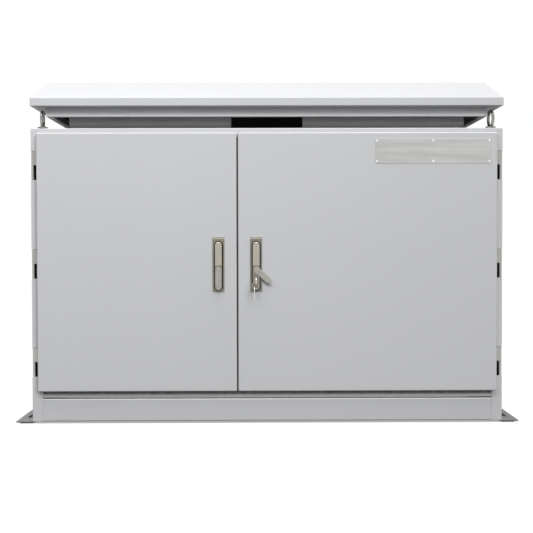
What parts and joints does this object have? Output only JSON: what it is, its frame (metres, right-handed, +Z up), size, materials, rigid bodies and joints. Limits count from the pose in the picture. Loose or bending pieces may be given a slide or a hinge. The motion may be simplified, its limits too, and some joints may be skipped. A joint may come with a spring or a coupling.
{
  "type": "roadside utility cabinet",
  "caption": "Floor-standing sheet-steel outdoor cabinet with unequal front doors, swing-handle locks, raised rain roof, lifting eyes and slotted feet.",
  "frame": {"origin": "on the ground at the middle of the body's width and of its depth over the doors", "axes": "+X along the width to the right seen from the front, +Z up, the doors face -Y"},
  "size_m": [1.714, 0.6456, 1.194],
  "materials": {
    "powder_coat": "light grey powder coat, satin, fine orange peel",
    "galvanised_sheet": "galvanised sheet, faint spangle",
    "brushed_plate": "brushed stainless plate",
    "hinge_stainless": "satin stainless",
    "rivet_bright": "bright domed rivet heads",
    "base_paint": "dark grey satin paint",
    "dish_cast": "dull cast stainless, olive brown tone",
    "handle_cast": "smooth satin cast stainless, warm tone",
    "cover_stainless": "satin stainless cover",
    "lock_cylinder": "nickelled brass cylinder",
    "key_nickel": "nickelled key",
    "eye_galvanised": "bright forged and plated steel",
    "zinc_plated": "bright zinc plate",
    "rubber_foam": "black foam gasket",
    "copper": "bare copper bar"
  },
  "bodies": {
    "cabinet": {"side_panel_left": "powder_coat", "side_panel_right": "powder_coat", "top_panel": "powder_coat", "rear_panel": "powder_coat", "sill_rail": "powder_coat", "plinth_front": "powder_coat", "floor_panel": "powder_coat", "centre_post": "powder_coat", "base_rail_left": "base_paint", "base_rail_right": "base_paint", "roof_canopy": "powder_coat", "roof_curb": "powder_coat", "vent_screens": "galvanised_sheet", "lifting_eyes": "eye_galvanised", "corner_gussets": "powder_coat", "eye_nuts": "zinc_plated", "hinge_frame_leaves": "hinge_stainless", "hinge_pins": "hinge_stainless", "mounting_plates": "galvanised_sheet", "plate_studs": "zinc_plated", "plate_nuts": "zinc_plated", "din_rails": "galvanised_sheet", "earth_bar": "copper", "gland_plate": "galvanised_sheet", "gland_screws": "zinc_plated"},
    "door_left": {"door_skin_left": "powder_coat", "door_gasket_left": "rubber_foam", "door_stiffeners_left": "powder_coat", "hinge_door_leaves_left": "hinge_stainless", "lock_dish_left": "dish_cast", "rod_guides_left": "galvanised_sheet"},
    "spindle_left": {"lock_spindle_left": "zinc_plated", "lock_cam_left": "zinc_plated"},
    "handle_left": {"lock_handle_left": "handle_cast", "handle_pin_left": "cover_stainless", "lock_barrel_left": "lock_cylinder"},
    "cover_left": {"dust_cover_left": "cover_stainless"},
    "plug_left": {"lock_plug_left": "lock_cylinder"},
    "rod_upper_left": {"lock_rod_upper_left": "zinc_plated"},
    "rod_lower_left": {"lock_rod_lower_left": "zinc_plated"},
    "door_right": {"door_skin_right": "powder_coat", "door_gasket_right": "rubber_foam", "door_stiffeners_right": "powder_coat", "hinge_door_leaves_right": "hinge_stainless", "lock_dish_right": "dish_cast", "rod_guides_right": "galvanised_sheet", "nameplate": "brushed_plate", "nameplate_rivets": "rivet_bright"},
    "spindle_right": {"lock_spindle_right": "zinc_plated", "lock_cam_right": "zinc_plated"},
    "handle_right": {"lock_handle_right": "handle_cast", "handle_pin_right": "cover_stainless", "lock_barrel_right": "lock_cylinder"},
    "cover_right": {"dust_cover_right": "cover_stainless"},
    "plug_right": {"lock_plug_right": "lock_cylinder", "key": "key_nickel", "key_ring": "key_nickel", "spare_key": "key_nickel"},
    "rod_upper_right": {"lock_rod_upper_right": "zinc_plated"},
    "rod_lower_right": {"lock_rod_lower_right": "zinc_plated"}
  },
  "joints": [
    {"name": "door_left_swing", "type": "hinge", "parent": "cabinet", "child": "door_left", "pos_m": [-0.794, -0.269, 0.54], "axis": [0, 0, -1], "range_deg": [0, 120]},
    {"name": "handle_left_turn", "type": "hinge", "parent": "door_left", "child": "spindle_left", "pos_m": [-0.1645, -0.3, 0.6025], "axis": [0, 1, 0], "range_deg": [0, 90]},
    {"name": "handle_left_lift", "type": "hinge", "parent": "spindle_left", "child": "handle_left", "pos_m": [-0.1645, -0.3096, 0.6025], "axis": [-1, 0, 0], "range_deg": [0, 30]},
    {"name": "cover_left_swing", "type": "hinge", "parent": "handle_left", "child": "cover_left", "pos_m": [-0.1645, -0.314, 0.522], "axis": [0, -1, 0], "range_deg": [0, 100]},
    {"name": "plug_left_turn", "type": "hinge", "parent": "handle_left", "child": "plug_left", "pos_m": [-0.1645, -0.31, 0.483], "axis": [0, -1, 0], "range_deg": [0, 90]},
    {"name": "rod_upper_left_slide", "type": "slide", "parent": "door_left", "child": "rod_upper_left", "axis": [0, 0, 1], "range_m": [-0.0228, 0]},
    {"name": "rod_lower_left_slide", "type": "slide", "parent": "door_left", "child": "rod_lower_left", "axis": [0, 0, 1], "range_m": [0, 0.0228]},
    {"name": "door_right_swing", "type": "hinge", "parent": "cabinet", "child": "door_right", "pos_m": [0.794, -0.269, 0.54], "axis": [0, 0, 1], "range_deg": [0, 120]},
    {"name": "handle_right_turn", "type": "hinge", "parent": "door_right", "child": "spindle_right", "pos_m": [-0.0375, -0.3, 0.6025], "axis": [0, -1, 0], "range_deg": [0, 90]},
    {"name": "handle_right_lift", "type": "hinge", "parent": "spindle_right", "child": "handle_right", "pos_m": [-0.0375, -0.3096, 0.6025], "axis": [-1, 0, 0], "range_deg": [0, 30]},
    {"name": "cover_right_swing", "type": "hinge", "parent": "handle_right", "child": "cover_right", "pos_m": [-0.0375, -0.314, 0.522], "axis": [0, -1, 0], "range_deg": [-20, 50]},
    {"name": "plug_right_turn", "type": "hinge", "parent": "handle_right", "child": "plug_right", "pos_m": [-0.0375, -0.31, 0.483], "axis": [0, -1, 0], "range_deg": [0, 90]},
    {"name": "rod_upper_right_slide", "type": "slide", "parent": "door_right", "child": "rod_upper_right", "axis": [0, 0, 1], "range_m": [-0.0228, 0]},
    {"name": "rod_lower_right_slide", "type": "slide", "parent": "door_right", "child": "rod_lower_right", "axis": [0, 0, 1], "range_m": [0, 0.0228]}
  ],
  "couplings": [
    {"joint": "rod_upper_left_slide", "follows": "handle_left_turn", "m_per_rad": -0.014405},
    {"joint": "rod_lower_left_slide", "follows": "handle_left_turn", "m_per_rad": 0.014405},
    {"joint": "rod_upper_right_slide", "follows": "handle_right_turn", "m_per_rad": -0.014405},
    {"joint": "rod_lower_right_slide", "follows": "handle_right_turn", "m_per_rad": 0.014405}
  ]
}
